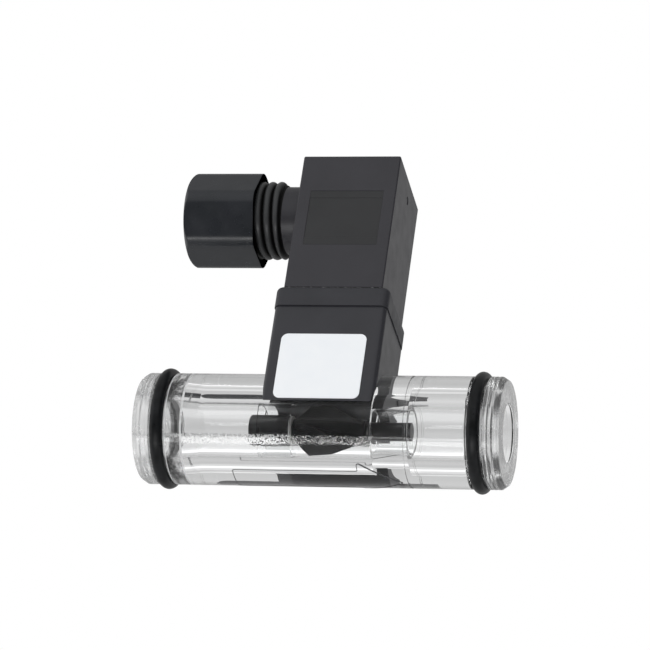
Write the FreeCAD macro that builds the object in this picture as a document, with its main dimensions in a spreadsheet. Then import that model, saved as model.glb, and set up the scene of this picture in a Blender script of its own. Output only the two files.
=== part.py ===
import FreeCAD, Part
import os
import re
import Sketcher

# In-line turbine flow switch. The origin is the centre of the inlet end face on the flow axis.
# +X runs with the flow, +Z points up the plug and -Y faces the label. Millimetres throughout.

SIZES = [
    ("tube_length", 58.4, "flow tube, end to end"),
    ("tube_radius", 8.8, "flow tube, outside"),
    ("lead_in_length", 0.9, "taper at each tube end, length"),
    ("lead_in_drop", 0.6, "taper at each tube end, fall in radius"),
    ("seal_setback", 4.0, "seal ring centre from its tube end"),
    ("seal_wire", 1.05, "seal ring, radius of its section"),
    ("seal_bite", 0.05, "seal ring, squeeze on its groove floor"),
    ("groove_width", 2.6, "seal groove"),
    ("groove_depth", 1.28, "seal groove"),
    ("witness_width", 0.3, "fine ring groove on the tube"),
    ("witness_depth", 0.12, "fine ring groove on the tube"),
    ("witness_at", 7.85, "first fine ring groove from the inlet end"),
    ("inlet_bore_radius", 4.6, "bore widened at the inlet end"),
    ("inlet_bore_length", 5.4, "bore widened at the inlet end"),
    ("chamber_radius", 4.3, "bore round inlet support and rotor"),
    ("shoulder_radius", 3.6, "bore narrowed round the outlet support"),
    ("shoulder_setback", 1.0, "outlet hub's front to the narrowed bore"),
    ("outlet_bore_radius", 4.6, "bore widened at the outlet end"),
    ("outlet_bore_length", 5.4, "bore widened at the outlet end"),
    ("support_gap", 0.04, "spider ring in its bore"),
    ("vane_thickness", 0.7, "spider vane"),
    ("vane_count", 3, "vanes on each spider"),
    ("vane_setback", 1.9, "nose tip to the front of its spider"),
    ("inlet_hub_at", 17.65, "inlet hub, tip of its nose"),
    ("inlet_hub_length", 6.5, "inlet hub with nose"),
    ("inlet_hub_radius", 2.4, "inlet hub"),
    ("nose_round", 0.5, "inlet hub, rounding of its nose"),
    ("outlet_hub_length", 6.8, "outlet hub"),
    ("outlet_hub_radius", 1.45, "outlet hub"),
    ("ring_length", 0.7, "inlet spider ring beyond its hub"),
    ("ring_wall", 0.35, "spider ring, wall"),
    ("rotor_gap", 0.5, "inlet hub to rotor"),
    ("rotor_rear_gap", 0.4, "rotor to outlet hub"),
    ("rotor_length", 11.6, "rotor hub"),
    ("rotor_hub_radius", 1.8, "rotor hub"),
    ("blade_setback", 0.5, "rotor hub end to blade"),
    ("blade_thickness", 0.8, "rotor blade"),
    ("blade_root", 1.2, "radius where a blade starts inside the hub"),
    ("blade_lead", 2.1, "blade, slope at the inlet end"),
    ("blade_flat", 3.3, "blade, stretch at full height"),
    ("blade_stub", 0.15, "blade above the hub at its two ends"),
    ("blade_start", 10, "turn of a blade at the inlet end, degrees"),
    ("blade_twist", 60, "turn of a blade from end to end, degrees"),
    ("blade_count", 4, "rotor blades"),
    ("tip_gap", 0.33, "blade tip to chamber"),
    ("shaft_radius", 0.5, "rotor shaft"),
    ("running_gap", 0.03, "shaft in its bearing"),
    ("bearing_radius", 0.95, "bearing bush, outside"),
    ("bearing_length", 1.6, "bearing bush"),
    ("bearing_stand", 0.15, "outlet bush proud of its hub"),
    ("collar_radius", 2.3, "collar of the inlet bush"),
    ("collar_length", 0.35, "collar of the inlet bush, on the hub's end"),
    ("shaft_float", 0.25, "shaft end to the floor of the bush's hole"),
    ("magnet_radius", 0.4, "rotor magnet"),
    ("magnet_length", 6.0, "rotor magnet"),
    ("magnet_circle", 1.15, "rotor magnets, distance from the axis"),
    ("seat_gap", 0.02, "pieces seated in one another on one body"),
    ("stalk_at", 29.5, "plug and block, place along the tube"),
    ("stalk_setback", 7.9, "block front to plug centre"),
    ("housing_width", 18.1, "block, along the tube"),
    ("housing_depth", 14.0, "block, across the tube"),
    ("housing_stand", 0.2, "block front ahead of the tube"),
    ("housing_rise", 8.65, "block top above the tube"),
    ("housing_foot", 0.35, "block foot above the flow axis"),
    ("housing_corner", 1.0, "block, upright edges"),
    ("saddle_stand", 0.5, "saddle back behind the tube"),
    ("saddle_rise", 2.2, "saddle ledge above the tube"),
    ("bond_gap", 0.05, "saddle to tube"),
    ("cavity_width", 10.4, "electronics space, square"),
    ("floor_wall", 1.4, "wall between tube and electronics"),
    ("flange_width", 13.2, "terminal flange, along the tube"),
    ("flange_depth", 10.6, "terminal flange, across the tube"),
    ("flange_thick", 1.0, "terminal flange"),
    ("fit_gap", 0.1, "moulded piece in its recess, each side"),
    ("label_width", 13.7, "label"),
    ("label_height", 11.6, "label"),
    ("label_thick", 0.12, "label"),
    ("label_corner", 1.05, "label"),
    ("label_rise", 0.32, "block foot to label"),
    ("label_shift", 0.2, "label centre toward the inlet"),
    ("board_thick", 1.0, "circuit board"),
    ("board_gap", 0.2, "circuit board to cavity wall"),
    ("sensor_width", 4.0, "magnetic sensor"),
    ("sensor_depth", 3.0, "magnetic sensor"),
    ("sensor_height", 1.3, "magnetic sensor"),
    ("block_width", 10.0, "terminal block through the gasket, square"),
    ("block_rise", 1.0, "terminal block above the gasket"),
    ("boss_radius", 2.9, "screw boss under the flange"),
    ("boss_length", 3.4, "screw boss under the flange"),
    ("insert_radius", 2.1, "threaded insert"),
    ("insert_length", 6.0, "threaded insert"),
    ("screw_radius", 1.4, "retaining screw shank"),
    ("screw_gap", 0.3, "retaining screw in its holes"),
    ("screw_tip_lift", 0.5, "retaining screw tip above the insert's foot"),
    ("thread_gap", 0.1, "screw and nut threads, drawn plain"),
    ("pin_width", 2.6, "contact blade"),
    ("pin_thick", 0.8, "contact blade"),
    ("pin_rise", 6.6, "contact blade above the terminal block"),
    ("pin_gap", 0.12, "contact blade in its socket, each side"),
    ("gasket_lip", 0.15, "gasket beyond the block, each side"),
    ("gasket_front", 0.3, "gasket ahead of the block"),
    ("gasket_thick", 3.55, "gasket"),
    ("gasket_corner", 1.3, "gasket, upright edges"),
    ("gasket_round", 0.7, "gasket, top edge"),
    ("gasket_hole", 10.4, "gasket opening, square"),
    ("plug_width", 16.0, "plug, along the tube"),
    ("plug_depth", 15.8, "plug, across the tube"),
    ("plug_height", 24.78, "plug"),
    ("plug_corner", 0.3, "plug, upright and top edges"),
    ("plug_wall", 1.7, "plug, wall round the insert"),
    ("ledge_wall", 2.7, "plug, wall above the insert"),
    ("plug_roof", 3.2, "plug, top wall"),
    ("carrier_lift", 1.4, "plug foot to insert"),
    ("carrier_height", 11.4, "contact carrier"),
    ("carrier_gap", 0.08, "contact carrier in the plug, each side"),
    ("socket_width", 3.4, "female contact"),
    ("socket_depth", 2.0, "female contact"),
    ("socket_height", 8.4, "female contact"),
    ("wire_screw_radius", 1.0, "terminal screw head"),
    ("wire_screw_shank", 0.6, "terminal screw shank"),
    ("wire_screw_head", 0.7, "terminal screw head height"),
    ("wire_screw_clear", 0.3, "terminal screw head to plug wall"),
    ("wire_screw_depth", 1.5, "terminal screw in its contact"),
    ("wire_screw_play", 0.1, "terminal screw tip to the end of its hole"),
    ("badge_width", 12.0, "sunk panel on the plug front"),
    ("badge_height", 10.2, "sunk panel on the plug front"),
    ("badge_depth", 0.12, "sunk panel on the plug front"),
    ("badge_rise", 7.9, "plug foot to sunk panel"),
    ("badge_bar", 1.3, "raised bars across the sunk panel"),
    ("dimple_radius", 0.7, "mark on the plug side"),
    ("dimple_depth", 0.1, "mark on the plug side"),
    ("dimple_drop", 3.5, "mark below the plug top"),
    ("head_radius", 2.6, "retaining screw head"),
    ("head_height", 2.0, "retaining screw head"),
    ("head_sink", 1.6, "retaining screw seat below the plug top"),
    ("head_gap", 0.3, "retaining screw head in its seat"),
    ("slot_width", 0.8, "driver slot"),
    ("slot_depth", 0.9, "driver slot"),
    ("washer_thick", 0.5, "screw washer"),
    ("gland_rise", 17.38, "plug foot to gland axis"),
    ("neck_length", 2.95, "gland, plain neck"),
    ("neck_radius", 5.5, "gland, plain neck"),
    ("spigot_radius", 5.5, "gland, thread root"),
    ("thread_depth", 0.85, "gland, thread crest above its root"),
    ("spigot_length", 9.8, "gland, threaded stretch"),
    ("pocket_radius", 4.6, "gland, grommet pocket"),
    ("pocket_depth", 6.2, "gland, grommet pocket"),
    ("passage_radius", 3.4, "gland, wire passage"),
    ("grommet_length", 6.0, "grommet"),
    ("grommet_hole", 3.1, "grommet"),
    ("grommet_gap", 0.06, "grommet in its pocket"),
    ("nut_flats", 14.0, "gland nut across flats"),
    ("nut_length", 11.8, "gland nut"),
    ("nut_corner", 2.6, "gland nut, rounding between flats"),
    ("nut_round", 1.2, "gland nut, rounding of its outer end"),
    ("nut_wall", 2.0, "gland nut, end wall"),
    ("mouth_flare", 0.3, "gland nut, widening of its mouth"),
    ("mouth_length", 0.9, "gland nut, widening of its mouth"),
    ("thread_shown", 4.4, "bare thread between nut and neck"),
    ("cable_radius", 3.6, "cable hole in the nut"),
    ("press_radius", 5.9, "pressure washer"),
    ("press_hole", 3.35, "pressure washer"),
    ("press_thick", 1.0, "pressure washer"),
    ("press_gap", 0.05, "pressure washer to the nut's end wall"),
]

doc = FreeCAD.newDocument("flow_switch")
sheet = doc.addObject("Spreadsheet::Sheet", "sizes")
for row, (alias, value, note) in enumerate(SIZES, 1):
    sheet.set("A%d" % row, note)
    sheet.set("B%d" % row, str(value))
    sheet.setAlias("B%d" % row, alias)
doc.recompute()

NAMES = {alias for alias, value, note in SIZES}
NODES = []

# Places that several pieces share, written in terms of the sizes.
PLACES = {
    "housing_front": "(tube_radius + housing_stand)",
    "housing_back": "(housing_depth - housing_front)",
    "housing_top": "(tube_radius + housing_rise)",
    "saddle_back": "(tube_radius + saddle_stand)",
    "saddle_top": "(tube_radius + saddle_rise)",
    "stalk_shift": "(housing_front - stalk_setback)",
    "inlet_hub_end": "(inlet_hub_at + inlet_hub_length)",
    "rotor_at": "(inlet_hub_end + rotor_gap)",
    "outlet_hub_at": "(rotor_at + rotor_length + rotor_rear_gap)",
    "outlet_hub_end": "(outlet_hub_at + outlet_hub_length)",
    "shoulder_at": "(outlet_hub_at + shoulder_setback)",
    "cavity_floor": "(tube_radius + floor_wall)",
    "board_foot": "(cavity_floor + sensor_height)",
    "board_top": "(board_foot + board_thick)",
    "flange_foot": "(housing_top - flange_thick)",
    "gasket_top": "(housing_top + gasket_thick)",
    "block_top": "(gasket_top + block_rise)",
    "plug_foot": "gasket_top",
    "plug_top": "(plug_foot + plug_height)",
    "plug_left": "(stalk_at - plug_width / 2)",
    "carrier_foot": "(plug_foot + carrier_lift)",
    "carrier_top": "(carrier_foot + carrier_height)",
    "socket_foot": "(carrier_top - socket_height)",
    "pin_circle": "(min(plug_width; plug_depth) / 2 - ledge_wall - wire_screw_clear - wire_screw_radius)",
    "head_seat": "(plug_top - head_sink)",
    "gland_level": "(plug_foot + gland_rise)",
    "thread_end": "(plug_left - neck_length)",
    "spigot_end": "(thread_end - spigot_length)",
    "nut_rim": "(thread_end - thread_shown)",
    "nut_end": "(nut_rim - nut_length)",
    "press_at": "(nut_end + nut_wall + press_gap)",
}


def ex(text):
    """Spell out shared places and point every size name at its cell."""
    word = r"[a-z_]+"
    while any(hit in PLACES for hit in re.findall(word, text)):
        text = re.sub(word, lambda hit: PLACES.get(hit.group(0), hit.group(0)), text)
    return re.sub(word, lambda hit: "sizes." * (hit.group(0) in NAMES) + hit.group(0), text)


# Turns that lay a primitive's own Z axis along the named direction.
TURNS = {
    "+Z": FreeCAD.Rotation(),
    "+X": FreeCAD.Rotation(FreeCAD.Vector(0, 1, 0), 90),
    "-X": FreeCAD.Rotation(FreeCAD.Vector(0, 1, 0), -90),
}


def place(item, at, along="+Z"):
    item.Placement = FreeCAD.Placement(FreeCAD.Vector(0, 0, 0), TURNS[along])
    for axis, text in zip("xyz", at):
        item.setExpression("Placement.Base." + axis, ex(text))


def bind(item, values):
    for name, text in values.items():
        item.setExpression(name, ex(text))


def body(name):
    piece = doc.addObject("PartDesign::Body", name)
    piece.Label = name
    NODES.append(piece)
    return piece


def form(piece, kind, at, along="+Z", **values):
    """Add or cut one primitive in a body: kind is the feature's type, such as AdditiveBox."""
    item = piece.newObject("PartDesign::" + kind, kind)
    place(item, at, along)
    bind(item, values)
    return item


def rod(piece, start, end, radius, y="0", z="0", cut=False):
    """A round bar along X from start to end, added to the body or cut from it."""
    kind = "SubtractiveCylinder" if cut else "AdditiveCylinder"
    return form(piece, kind, (start, y, z), "+X", Radius=radius, Height="(%s) - (%s)" % (end, start))


def post(piece, foot, top, radius, cut=False):
    """A round bar along Z on the stalk's centre line."""
    kind = "SubtractiveCylinder" if cut else "AdditiveCylinder"
    at = ("stalk_at", "-stalk_shift", foot)
    return form(piece, kind, at, Radius=radius, Height="(%s) - (%s)" % (top, foot))


def slab(piece, width, depth, foot, top, cut=False):
    """A rectangular block centred on the stalk."""
    kind = "SubtractiveBox" if cut else "AdditiveBox"
    at = ("stalk_at - (%s) / 2" % width, "-stalk_shift - (%s) / 2" % depth, foot)
    return form(piece, kind, at, Length=width, Width=depth, Height="(%s) - (%s)" % (top, foot))


def span(piece, left, right, front, back, foot, top, cut=False):
    """A rectangular block between stated planes."""
    kind = "SubtractiveBox" if cut else "AdditiveBox"
    return form(piece, kind, (left, front, foot),
                Length="(%s) - (%s)" % (right, left),
                Width="(%s) - (%s)" % (back, front),
                Height="(%s) - (%s)" % (top, foot))


def dress(piece, kind, base, values, pick):
    """Round or bevel the picked edges of a body's last feature."""
    doc.recompute()
    names = ["Edge%d" % (n + 1) for n, edge in enumerate(base.Shape.Edges) if pick(edge)]
    item = piece.newObject("PartDesign::" + kind, kind)
    item.Base = (base, names)
    bind(item, values)
    return item


def value(text):
    """The present value of an expression over the sizes."""
    return float(sheet.evalExpression(re.sub(r"sizes\.", "", ex(text))))


def direction(edge):
    ends = [vertex.Point for vertex in edge.Vertexes]
    if len(ends) != 2 or edge.Curve.TypeId != "Part::GeomLine":
        return None
    step = ends[1] - ends[0]
    return tuple(round(abs(part) / step.Length, 3) for part in step)


def upright(edge):
    return direction(edge) == (0.0, 0.0, 1.0)


def lengthwise(edge):
    return direction(edge) == (1.0, 0.0, 0.0)


def part(kind, name, at, along="+Z", **values):
    item = doc.addObject("Part::" + kind, name)
    place(item, at, along)
    bind(item, values)
    return item


def group(name, items):
    piece = doc.addObject("Part::Compound", name)
    piece.Label = name
    piece.Links = items
    NODES.append(piece)
    return piece


def plane(piece, role):
    return [item for item in piece.Origin.OriginFeatures if item.Role == role][0]


def ring_pattern(piece, original, count):
    doc.recompute()
    item = piece.newObject("PartDesign::PolarPattern", "ring")
    item.Originals = [original]
    item.Axis = (plane(piece, "X_Axis"), [""])
    item.Angle = 360
    bind(item, {"Occurrences": count})
    piece.Tip = item
    return item


# Clear flow tube: tapered ends, two seal grooves, two fine ring grooves and a stepped bore.
tube = body("tube_body")
groove_near = "(seal_setback - groove_width / 2)"
groove_far = "(seal_setback + groove_width / 2)"
floor = "tube_radius - groove_depth"
scribe = "tube_radius - witness_depth"
first_scribe = "witness_at"
second_scribe = "outlet_hub_end"
form(tube, "AdditiveCone", ("0", "0", "0"), "+X",
     Radius1="tube_radius - lead_in_drop", Radius2="tube_radius", Height="lead_in_length")
rod(tube, "lead_in_length", groove_near, "tube_radius")
rod(tube, groove_near, groove_far, floor)
rod(tube, groove_far, first_scribe, "tube_radius")
rod(tube, first_scribe, first_scribe + " + witness_width", scribe)
rod(tube, first_scribe + " + witness_width", second_scribe, "tube_radius")
rod(tube, second_scribe, second_scribe + " + witness_width", scribe)
rod(tube, second_scribe + " + witness_width", "tube_length - " + groove_far, "tube_radius")
rod(tube, "tube_length - " + groove_far, "tube_length - " + groove_near, floor)
rod(tube, "tube_length - " + groove_near, "tube_length - lead_in_length", "tube_radius")
form(tube, "AdditiveCone", ("tube_length - lead_in_length", "0", "0"), "+X",
     Radius1="tube_radius", Radius2="tube_radius - lead_in_drop", Height="lead_in_length")
rod(tube, "0", "tube_length", "shoulder_radius", cut=True)
rod(tube, "0", "shoulder_at", "chamber_radius", cut=True)
rod(tube, "outlet_hub_end", "tube_length", "chamber_radius", cut=True)
rod(tube, "0", "inlet_bore_length", "inlet_bore_radius", cut=True)
rod(tube, "tube_length - outlet_bore_length", "tube_length", "outlet_bore_radius", cut=True)

# Seal rings sit on the groove floors with a slight squeeze.
for name, at in (("inlet_o_ring", "seal_setback"), ("outlet_o_ring", "tube_length - seal_setback")):
    seal = body(name)
    form(seal, "AdditiveTorus", (at, "0", "0"), "+X",
         Radius1="tube_radius - groove_depth + seal_wire - seal_bite", Radius2="seal_wire")

# Bearing hubs on the axis, each bored for its bush.
bush_hole = "bearing_radius + seat_gap"
bush_depth = "(bearing_length - bearing_stand)"
hub = body("inlet_support")
nose = rod(hub, "inlet_hub_at", "inlet_hub_end", "inlet_hub_radius")
nose_tip = value("inlet_hub_at")
dress(hub, "Fillet", nose, {"Radius": "nose_round"},
      lambda edge: all(abs(vertex.X - nose_tip) < 1e-6 for vertex in edge.Vertexes))
rod(hub, "inlet_hub_end - " + bush_depth, "inlet_hub_end", bush_hole, cut=True)
hub = body("outlet_support")
rod(hub, "outlet_hub_at", "outlet_hub_end", "outlet_hub_radius")
rod(hub, "outlet_hub_at", "outlet_hub_at + " + bush_depth, bush_hole, cut=True)

# Clear spiders: a thin ring in the bore with radial vanes that hold the hub.
for name, start, hub_end, ring_end, hold, bore in (
        ("inlet_spacer_ring", "inlet_hub_at + vane_setback", "inlet_hub_end", "inlet_hub_end + ring_length",
         "inlet_hub_radius", "chamber_radius"),
        ("outlet_retaining_ring", "shoulder_at", "outlet_hub_end", "outlet_hub_end",
         "outlet_hub_radius", "shoulder_radius")):
    spider = body(name)
    rod(spider, start, ring_end, bore + " - support_gap")
    rod(spider, start, ring_end, bore + " - support_gap - ring_wall", cut=True)
    vane = span(spider, start, hub_end, "-vane_thickness / 2", "vane_thickness / 2",
                hold + " + seat_gap", bore + " - support_gap - ring_wall / 2")
    ring_pattern(spider, vane, "vane_count")

# Bearing bushes, each with a blind floor that takes the shaft's end thrust. The inlet one has a collar.
shaft_hole = "shaft_radius + running_gap"
bush = body("inlet_bearing")
rod(bush, "inlet_hub_end - " + bush_depth, "inlet_hub_end", "bearing_radius")
rod(bush, "inlet_hub_end", "inlet_hub_end + collar_length", "collar_radius")
rod(bush, "inlet_hub_end - %s + shaft_float" % bush_depth, "inlet_hub_end + collar_length", shaft_hole,
    cut=True)
bush = body("outlet_bearing")
rod(bush, "outlet_hub_at - bearing_stand", "outlet_hub_at + " + bush_depth, "bearing_radius")
rod(bush, "outlet_hub_at - bearing_stand", "outlet_hub_at + %s - shaft_float" % bush_depth, shaft_hole,
    cut=True)

# Rotor: a hub with twisted blades, each lofted through sections that turn as they go along the axis.
rotor = body("rotor")
rod(rotor, "rotor_at", "rotor_at + rotor_length", "rotor_hub_radius")
blade_length = "(rotor_length - 2 * blade_setback)"
blade_trail = "(%s - blade_lead - blade_flat)" % blade_length
full_height = "(chamber_radius - tip_gap - rotor_hub_radius - blade_stub)"
# Stations along a blade, each with its share of the full height: a slope, a flat tip and a longer slope.
STATIONS = [
    ("0", "0"),
    ("blade_lead / 2", "1 / 2"),
    ("blade_lead", "1"),
    ("blade_lead + blade_flat / 2", "1"),
    ("blade_lead + blade_flat", "1"),
    ("blade_lead + blade_flat + %s / 3" % blade_trail, "2 / 3"),
    ("blade_lead + blade_flat + 2 * %s / 3" % blade_trail, "1 / 3"),
    (blade_length, "0"),
]
sections = []
for number, (station, share) in enumerate(STATIONS):
    sketch = rotor.newObject("Sketcher::SketchObject", "blade_section_%d" % number)
    sketch.AttachmentSupport = [(plane(rotor, "YZ_Plane"), "")]
    sketch.MapMode = "FlatFace"
    turn = "blade_start + blade_twist * (%s) / %s" % (station, blade_length)
    sketch.AttachmentOffset = FreeCAD.Placement(
        FreeCAD.Vector(0, 0, 0), FreeCAD.Rotation(FreeCAD.Vector(0, 0, 1), value(turn)))
    sketch.setExpression("AttachmentOffset.Base.z", ex("rotor_at + blade_setback + " + station))
    sketch.setExpression("AttachmentOffset.Rotation.Angle", ex(turn))
    tip = "rotor_hub_radius + blade_stub + %s * %s" % (full_height, share)
    low, high, half = value("blade_root"), value(tip), value("blade_thickness / 2")
    corners = [(-half, low), (half, low), (half, high), (-half, high)]
    points = [FreeCAD.Vector(x, y, 0) for x, y in corners]
    for n in range(4):
        sketch.addGeometry(Part.LineSegment(points[n], points[(n + 1) % 4]), False)
    for n in range(4):
        sketch.addConstraint(Sketcher.Constraint("Coincident", n, 2, (n + 1) % 4, 1))
    sketch.addConstraint(Sketcher.Constraint("Horizontal", 2))
    sketch.addConstraint(Sketcher.Constraint("Vertical", 1))
    sketch.addConstraint(Sketcher.Constraint("Vertical", 3))
    sketch.addConstraint(Sketcher.Constraint("Symmetric", 0, 1, 0, 2, -2))
    for name, text, geometry in (("thick", "blade_thickness", ("DistanceX", 0, 1, 0, 2)),
                                 ("root", "blade_root", ("DistanceY", -1, 1, 0, 1)),
                                 ("tip", tip, ("DistanceY", -1, 1, 2, 1))):
        index = sketch.addConstraint(Sketcher.Constraint(*geometry, value(text)))
        sketch.renameConstraint(index, name)
        sketch.setExpression("Constraints." + name, ex(text))
    sections.append(sketch)
doc.recompute()
blade = rotor.newObject("PartDesign::AdditiveLoft", "blade")
blade.Profile = sections[0]
blade.Sections = sections[1:]
blade.Ruled = True
ring_pattern(rotor, blade, "blade_count")
rod(rotor, "rotor_at", "rotor_at + rotor_length", "shaft_radius + seat_gap", cut=True)
magnet_from = "rotor_at + rotor_length - magnet_length"
for side in ("", "-"):
    rod(rotor, magnet_from, "rotor_at + rotor_length", "magnet_radius + seat_gap",
        z=side + "magnet_circle", cut=True)

shaft = body("rotor_shaft")
rod(shaft, "inlet_hub_end - %s + 2 * shaft_float" % bush_depth,
    "outlet_hub_at + %s - 2 * shaft_float" % bush_depth, "shaft_radius")

magnets = []
for side in ("", "-"):
    magnets.append(part("Cylinder", "magnet", (magnet_from, "0", side + "magnet_circle"), "+X",
                        Radius="magnet_radius", Height="magnet_length"))
group("rotor_magnets", magnets)

# Sensor block: an upright block on a saddle that fits over the tube, open at the top for the electronics.
housing = body("sensor_housing")
left = "stalk_at - housing_width / 2"
right = "stalk_at + housing_width / 2"
trunk = span(housing, left, right, "-housing_front", "housing_back", "housing_foot", "housing_top")
dress(housing, "Fillet", trunk, {"Radius": "housing_corner"}, upright)
span(housing, left, right, "housing_back - 2 * housing_corner", "saddle_back", "housing_foot", "saddle_top")
rod(housing, left, right, "tube_radius + bond_gap", cut=True)
slab(housing, "flange_width + 2 * fit_gap", "flange_depth + 2 * fit_gap", "flange_foot", "housing_top",
     cut=True)
slab(housing, "cavity_width", "cavity_width", "cavity_floor", "housing_top", cut=True)

label = body("housing_label")
plate = span(label, "stalk_at - label_shift - label_width / 2", "stalk_at - label_shift + label_width / 2",
             "-housing_front - label_thick", "-housing_front",
             "housing_foot + label_rise", "housing_foot + label_rise + label_height")
dress(label, "Fillet", plate, {"Radius": "label_corner"}, lambda edge: direction(edge) == (0.0, 1.0, 0.0))

# Electronics: a magnetic sensor over the rotor, under a small board that the pins stand on.
board = body("circuit_board")
slab(board, "cavity_width - 2 * board_gap", "cavity_width - 2 * board_gap", "board_foot", "board_top")
sensor = body("hall_sensor")
slab(sensor, "sensor_width", "sensor_depth", "cavity_floor", "board_foot")

terminal = body("terminal_base")
slab(terminal, "flange_width", "flange_depth", "flange_foot", "housing_top")
slab(terminal, "block_width", "block_width", "housing_top", "block_top")
post(terminal, "flange_foot - boss_length", "flange_foot", "boss_radius")
post(terminal, "flange_foot - boss_length", "flange_foot - boss_length + insert_length",
     "insert_radius + seat_gap", cut=True)
post(terminal, "flange_foot - boss_length + insert_length", "block_top", "screw_radius + screw_gap", cut=True)

AROUND = [("pin_circle", "0"), ("-pin_circle", "0"), ("0", "pin_circle"), ("0", "-pin_circle")]


def beside(dx, dy, width, depth, foot):
    """Corner of a box of the given size, centred on one of the four contact places."""
    return ("stalk_at + %s - (%s) / 2" % (dx, width), "-stalk_shift + %s - (%s) / 2" % (dy, depth), foot)


def turned(dx, width, depth):
    """Contacts stand with their broad side towards the screw."""
    return (depth, width) if dx != "0" else (width, depth)


pins = []
for dx, dy in AROUND:
    wide, deep = turned(dx, "pin_width", "pin_thick")
    pins.append(part("Box", "pin", beside(dx, dy, wide, deep, "board_top"),
                     Length=wide, Width=deep, Height="block_top + pin_rise - board_top"))
    wide, deep = turned(dx, "pin_width + 2 * seat_gap", "pin_thick + 2 * seat_gap")
    form(terminal, "SubtractiveBox", beside(dx, dy, wide, deep, "flange_foot"),
         Length=wide, Width=deep, Height="block_top - flange_foot")
group("contact_blades", pins)

insert = body("threaded_insert")
post(insert, "flange_foot - boss_length", "flange_foot - boss_length + insert_length", "insert_radius")
post(insert, "flange_foot - boss_length", "flange_foot - boss_length + insert_length",
     "screw_radius + thread_gap", cut=True)

# Gasket between block and plug, wider than both along the tube.
gasket = body("profile_gasket")
pad = span(gasket, left + " - gasket_lip", right + " + gasket_lip",
           "-housing_front - gasket_front", "housing_back", "housing_top", "gasket_top")
pad = dress(gasket, "Fillet", pad, {"Radius": "gasket_corner"}, upright)
top_level = value("gasket_top")
dress(gasket, "Fillet", pad, {"Radius": "gasket_round"},
      lambda edge: all(abs(vertex.Z - top_level) < 1e-6 for vertex in edge.Vertexes))
slab(gasket, "gasket_hole", "gasket_hole", "housing_top", "gasket_top", cut=True)

# Plug: a square shell with a sunk front panel and a gland spigot toward the inlet.
plug = body("plug_housing")
shell = slab(plug, "plug_width", "plug_depth", "plug_foot", "plug_top")
shell = dress(plug, "Fillet", shell, {"Radius": "plug_corner"}, upright)
roof_level = value("plug_top")
dress(plug, "Fillet", shell, {"Radius": "plug_corner"},
      lambda edge: all(abs(vertex.Z - roof_level) < 1e-6 for vertex in edge.Vertexes))
axis = {"y": "-stalk_shift", "z": "gland_level"}
rod(plug, "thread_end", "stalk_at", "neck_radius", **axis)
rod(plug, "spigot_end", "thread_end", "spigot_radius", **axis)
front = "-stalk_shift - plug_depth / 2"
panel_left = "stalk_at - badge_width / 2"
panel_right = "stalk_at + badge_width / 2"
panel_foot = "(plug_foot + badge_rise)"
span(plug, panel_left, panel_right, front, front + " + badge_depth",
     panel_foot + " + badge_bar", panel_foot + " + badge_height - badge_bar", cut=True)
span(plug, panel_left, panel_right, front, front + " + badge_depth / 2",
     panel_foot, panel_foot + " + badge_height", cut=True)
rod(plug, "stalk_at + plug_width / 2 - dimple_depth", "stalk_at + plug_width / 2", "dimple_radius",
    y="-stalk_shift", z="plug_top - dimple_drop", cut=True)
slab(plug, "plug_width - 2 * plug_wall", "plug_depth - 2 * plug_wall", "plug_foot", "carrier_top", cut=True)
slab(plug, "plug_width - 2 * ledge_wall", "plug_depth - 2 * ledge_wall", "plug_foot", "plug_top - plug_roof",
     cut=True)
rod(plug, "spigot_end", "stalk_at", "passage_radius", cut=True, **axis)
rod(plug, "spigot_end", "spigot_end + pocket_depth", "pocket_radius", cut=True, **axis)
post(plug, "head_seat", "plug_top", "head_radius + head_gap", cut=True)
post(plug, "plug_foot", "plug_top", "screw_radius + screw_gap", cut=True)

carrier = body("plug_insert")
slab(carrier, "plug_width - 2 * plug_wall - 2 * carrier_gap", "plug_depth - 2 * plug_wall - 2 * carrier_gap",
     "carrier_foot", "carrier_top")
post(carrier, "carrier_foot", "carrier_top", "screw_radius + screw_gap", cut=True)

sockets = []
wire_screws = []
hole_depth = "(wire_screw_depth + wire_screw_play)"
for dx, dy in AROUND:
    across, aside = "stalk_at + " + dx, "-stalk_shift + " + dy
    wide, deep = turned(dx, "socket_width + 2 * seat_gap", "socket_depth + 2 * seat_gap")
    form(carrier, "SubtractiveBox", beside(dx, dy, wide, deep, "socket_foot"),
         Length=wide, Width=deep, Height="socket_height")
    wide, deep = turned(dx, "pin_width + 2 * pin_gap", "pin_thick + 2 * pin_gap")
    form(carrier, "SubtractiveBox", beside(dx, dy, wide, deep, "carrier_foot"),
         Length=wide, Width=deep, Height="socket_foot - carrier_foot")
    slot = part("Box", "socket_slot", beside(dx, dy, wide, deep, "socket_foot"),
                Length=wide, Width=deep, Height="block_top + pin_rise + 2 * pin_gap - socket_foot")
    hole = part("Cylinder", "screw_hole", (across, aside, "carrier_top - " + hole_depth),
                Radius="wire_screw_shank + seat_gap", Height=hole_depth)
    wide, deep = turned(dx, "socket_width", "socket_depth")
    bar = part("Box", "socket_bar", beside(dx, dy, wide, deep, "socket_foot"),
               Length=wide, Width=deep, Height="socket_height")
    slotted = doc.addObject("Part::Cut", "slotted")
    slotted.Base = bar
    slotted.Tool = slot
    drilled = doc.addObject("Part::Cut", "drilled")
    drilled.Base = slotted
    drilled.Tool = hole
    sockets.append(drilled)
    head = part("Cylinder", "wire_screw_head", (across, aside, "carrier_top"),
                Radius="wire_screw_radius", Height="wire_screw_head")
    shank = part("Cylinder", "wire_screw_shank", (across, aside, "carrier_top - wire_screw_depth"),
                 Radius="wire_screw_shank", Height="wire_screw_depth")
    screw = doc.addObject("Part::Fuse", "wire_screw")
    screw.Base = head
    screw.Tool = shank
    wire_screws.append(screw)
group("socket_contacts", sockets)
group("terminal_screws", wire_screws)

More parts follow.
